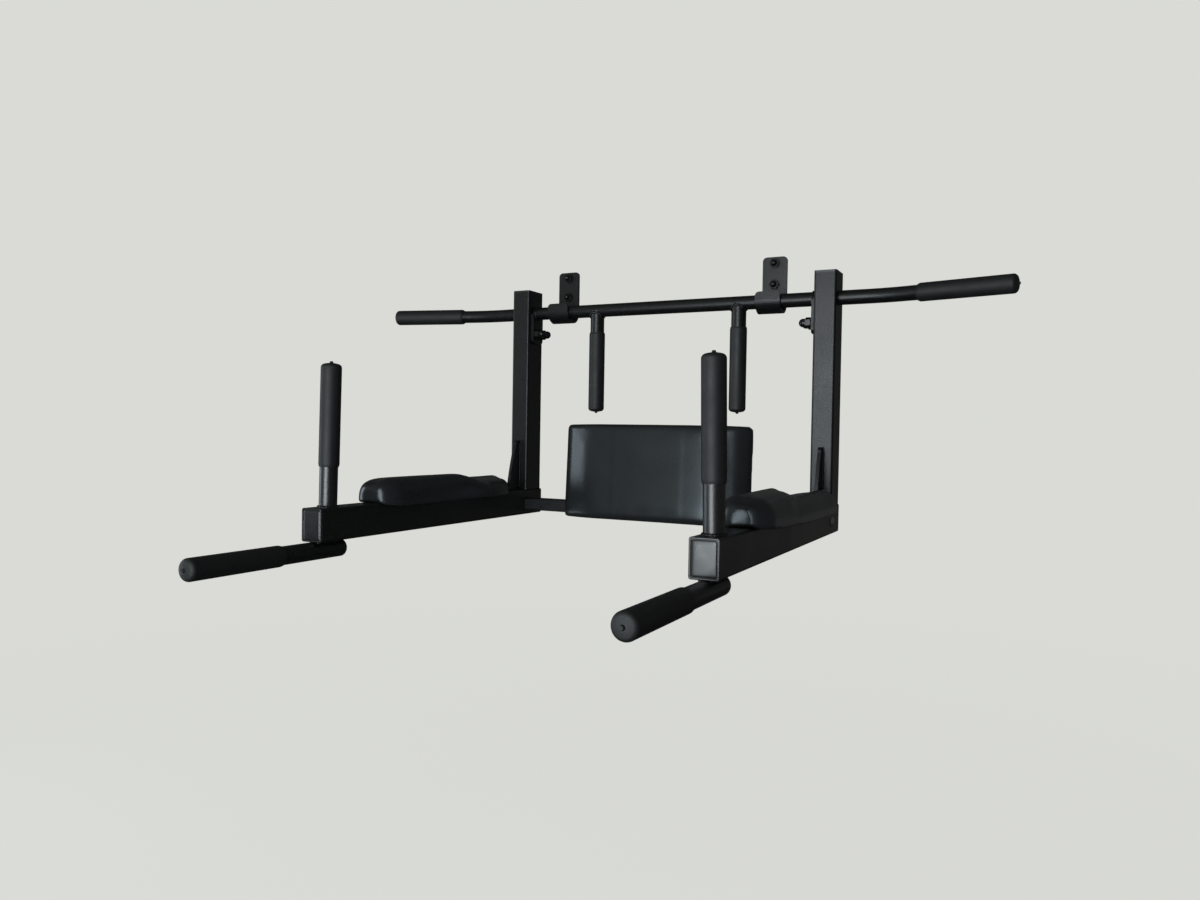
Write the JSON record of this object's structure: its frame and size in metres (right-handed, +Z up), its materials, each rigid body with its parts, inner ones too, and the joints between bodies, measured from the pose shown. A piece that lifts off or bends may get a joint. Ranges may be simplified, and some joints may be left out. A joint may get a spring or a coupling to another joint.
{
  "type": "dip station",
  "caption": "Wall-hung steel frame with a pull-up bar, padded arms, a back pad and rubber-gripped handles for dips and leg raises.",
  "frame": {"origin": "on the wall, in the middle of the four anchor studs of the two hooks", "axes": "+X along the pull-up bar, to the right of a person who faces the wall; +Y into the wall, along the anchor studs; +Z up"},
  "size_m": [1.2702, 0.9008, 0.5417],
  "materials": {
    "frame_paint": "satin",
    "grip_rubber": "matte",
    "plug_plastic": "satin",
    "vinyl": "satin",
    "nut_black": "gloss",
    "zinc": "satin",
    "plywood": "matte"
  },
  "bodies": {
    "wall_hooks": {"hook_left": "frame_paint", "hook_right": "frame_paint", "wall_studs": "zinc", "wall_washers": "nut_black", "wall_cap_nuts": "nut_black"},
    "frame": {"post_left": "frame_paint", "post_right": "frame_paint", "post_plug_left": "plug_plastic", "post_plug_right": "plug_plastic", "arm_left": "frame_paint", "arm_right": "frame_paint", "arm_front_plug_left": "plug_plastic", "arm_front_plug_right": "plug_plastic", "arm_rear_plug_left": "plug_plastic", "arm_rear_plug_right": "plug_plastic", "gusset_left": "frame_paint", "gusset_right": "frame_paint", "pull_up_bar": "frame_paint", "bar_ear_left": "frame_paint", "bar_ear_right": "frame_paint", "ear_studs": "zinc", "ear_washers": "nut_black", "ear_cap_nuts": "nut_black", "wing_grip_left": "grip_rubber", "wing_grip_right": "grip_rubber", "hanging_tube_left": "frame_paint", "hanging_tube_right": "frame_paint", "hanging_grip_left": "grip_rubber", "hanging_grip_right": "grip_rubber", "upright_tube_left": "frame_paint", "upright_tube_right": "frame_paint", "upright_grip_left": "grip_rubber", "upright_grip_right": "grip_rubber", "dip_tube_left": "frame_paint", "dip_tube_right": "frame_paint", "dip_tube_plug_left": "plug_plastic", "dip_tube_plug_right": "plug_plastic", "dip_grip_left": "grip_rubber", "dip_grip_right": "grip_rubber", "crossbar": "frame_paint", "crossbar_blocks": "zinc", "crossbar_bolts": "zinc", "back_straps": "frame_paint", "back_board": "plywood", "back_cushion": "vinyl", "back_screws": "zinc", "elbow_board_left": "plywood", "elbow_board_right": "plywood", "elbow_cushion_left": "vinyl", "elbow_cushion_right": "vinyl", "elbow_bolts": "zinc", "tee_nuts": "zinc"}
  },
  "joints": [
    {"name": "lift_off", "type": "slide", "parent": "wall_hooks", "child": "frame", "axis": [0, 0, 1], "range_m": [0, 0.11]}
  ]
}
